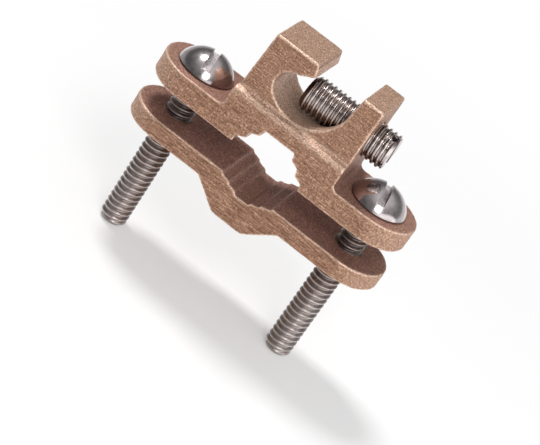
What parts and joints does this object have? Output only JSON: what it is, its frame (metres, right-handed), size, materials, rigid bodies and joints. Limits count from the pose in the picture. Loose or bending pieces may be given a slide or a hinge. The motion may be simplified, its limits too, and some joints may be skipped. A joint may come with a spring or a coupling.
{
  "type": "rebar earthing clamp",
  "caption": "Cast bronze two-jaw clamp that grips a reinforcing bar between toothed notches and holds an earth wire in a lay-in lug under a slotted set screw.",
  "frame": {"origin": "on the axis of the clamped bar, at the middle of the jaws' depth", "axes": "+Y along the bar, +Z along the clamp screws towards their heads, +X from the wire hook to the set screw's post"},
  "size_m": [0.049, 0.0134, 0.0465],
  "materials": {
    "cast_bronze": "sand-cast bronze, fine grainy blasted skin",
    "stainless_steel": "bright stainless steel, polished heads and cut threads"
  },
  "bodies": {
    "upper_jaw": {"upper_jaw": "cast_bronze"},
    "lower_jaw": {"lower_jaw": "cast_bronze"},
    "left_clamp_screw": {"left_clamp_screw": "stainless_steel"},
    "right_clamp_screw": {"right_clamp_screw": "stainless_steel"},
    "set_screw": {"set_screw": "stainless_steel"}
  },
  "joints": [
    {"name": "left_screw_turn", "type": "hinge", "parent": "upper_jaw", "child": "left_clamp_screw", "pos_m": [-0.0173, 0, 0.0051], "axis": [0, 0, 1], "range_deg": [-1701.2, 6463.4]},
    {"name": "right_screw_turn", "type": "hinge", "parent": "upper_jaw", "child": "right_clamp_screw", "pos_m": [0.0173, 0, 0.0051], "axis": [0, 0, 1], "range_deg": [-1701.2, 6463.4]},
    {"name": "lower_jaw_travel", "type": "slide", "parent": "upper_jaw", "child": "lower_jaw", "axis": [0, 0, -1], "range_m": [-0.005, 0.019]},
    {"name": "set_screw_travel", "type": "slide", "parent": "upper_jaw", "child": "set_screw", "axis": [1, 0, 0], "range_m": [-0.0012, 0.01]}
  ],
  "couplings": [
    {"joint": "left_screw_turn", "follows": "lower_jaw_travel", "rad_per_m": 5936.9},
    {"joint": "right_screw_turn", "follows": "lower_jaw_travel", "rad_per_m": 5936.9}
  ]
}
